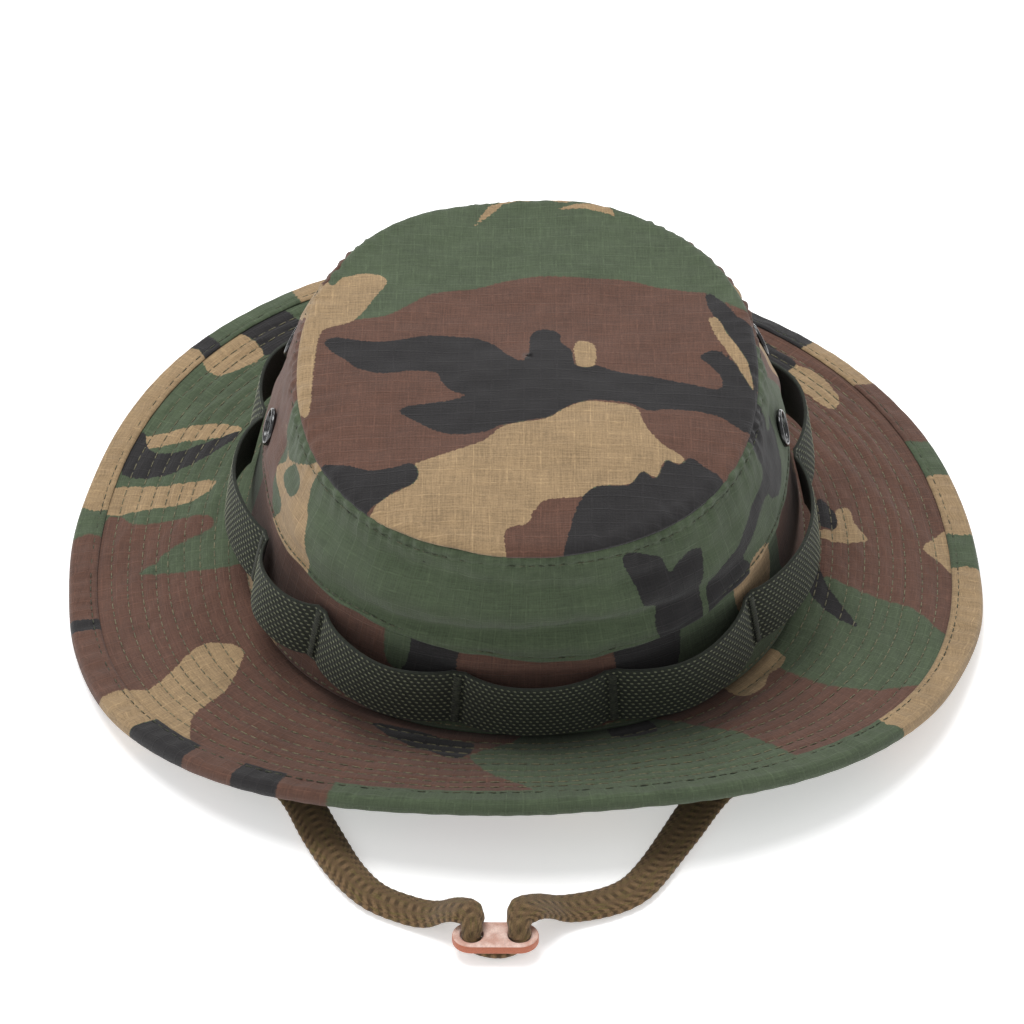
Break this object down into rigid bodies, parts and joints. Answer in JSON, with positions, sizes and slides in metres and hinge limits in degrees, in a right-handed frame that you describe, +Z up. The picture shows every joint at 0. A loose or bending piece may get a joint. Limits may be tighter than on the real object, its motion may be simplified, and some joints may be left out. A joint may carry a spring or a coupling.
{
  "type": "boonie hat",
  "caption": "Soft wide-brimmed field hat with foliage webbing loops round the crown, screened vents, a stitched brim and a chin strap with a sliding leather keeper.",
  "frame": {"origin": "on the surface that the hat stands on, under the middle of the brim", "axes": "+Z up, -Y towards the front of the hat where the chin strap lies, +X to the right as seen from the front"},
  "size_m": [0.3068, 0.3331, 0.1046],
  "materials": {
    "camouflage_ripstop": "matte printed ripstop cotton",
    "brim_underside": "matte printed ripstop cotton",
    "lining_cloth": "matte twill",
    "seam_tape": "matte tape",
    "interlining": "matte felted",
    "webbing": "woven nylon, slight sheen",
    "thread": "sewing thread",
    "black_metal": "glossy black enamel",
    "screen_mesh": "fine black mesh",
    "strap_braid": "flat braid, matte",
    "keeper_leather": "natural leather, raw edge"
  },
  "bodies": {
    "hat": {"crown_tip": "camouflage_ripstop", "crown_side": "camouflage_ripstop", "tip_seam_tape": "seam_tape", "crown_lower_band": "camouflage_ripstop", "sweatband": "lining_cloth", "brim_upper_ply": "camouflage_ripstop", "brim_interlining": "interlining", "brim_lower_ply": "brim_underside", "brim_binding": "camouflage_ripstop", "webbing_loop_01": "webbing", "webbing_loop_02": "webbing", "webbing_loop_03": "webbing", "webbing_loop_04": "webbing", "webbing_loop_05": "webbing", "webbing_loop_06": "webbing", "webbing_loop_07": "webbing", "webbing_loop_08": "webbing", "webbing_loop_09": "webbing", "webbing_loop_10": "webbing", "webbing_loop_11": "webbing", "webbing_bartack_01": "thread", "webbing_bartack_02": "thread", "webbing_bartack_03": "thread", "webbing_bartack_04": "thread", "webbing_bartack_05": "thread", "webbing_bartack_06": "thread", "webbing_bartack_07": "thread", "webbing_bartack_08": "thread", "webbing_bartack_09": "thread", "webbing_bartack_10": "thread", "webbing_bartack_11": "thread", "vent_eyelet_1": "black_metal", "vent_washer_1": "black_metal", "vent_screen_1": "screen_mesh", "vent_eyelet_2": "black_metal", "vent_washer_2": "black_metal", "vent_screen_2": "screen_mesh", "vent_eyelet_3": "black_metal", "vent_washer_3": "black_metal", "vent_screen_3": "screen_mesh", "vent_eyelet_4": "black_metal", "vent_washer_4": "black_metal", "vent_screen_4": "screen_mesh", "strap_tack_left": "brim_underside", "strap_tack_right": "brim_underside", "chin_cord_left": "strap_braid", "chin_cord_right": "strap_braid"},
    "keeper": {"cord_keeper": "keeper_leather", "chin_cord_bridge": "strap_braid"}
  },
  "joints": [
    {"name": "keeper_slide", "type": "slide", "parent": "hat", "child": "keeper", "axis": [0, 1, 0], "range_m": [0, 0.025], "deforming": ["chin_cord_left", "chin_cord_right"]}
  ]
}
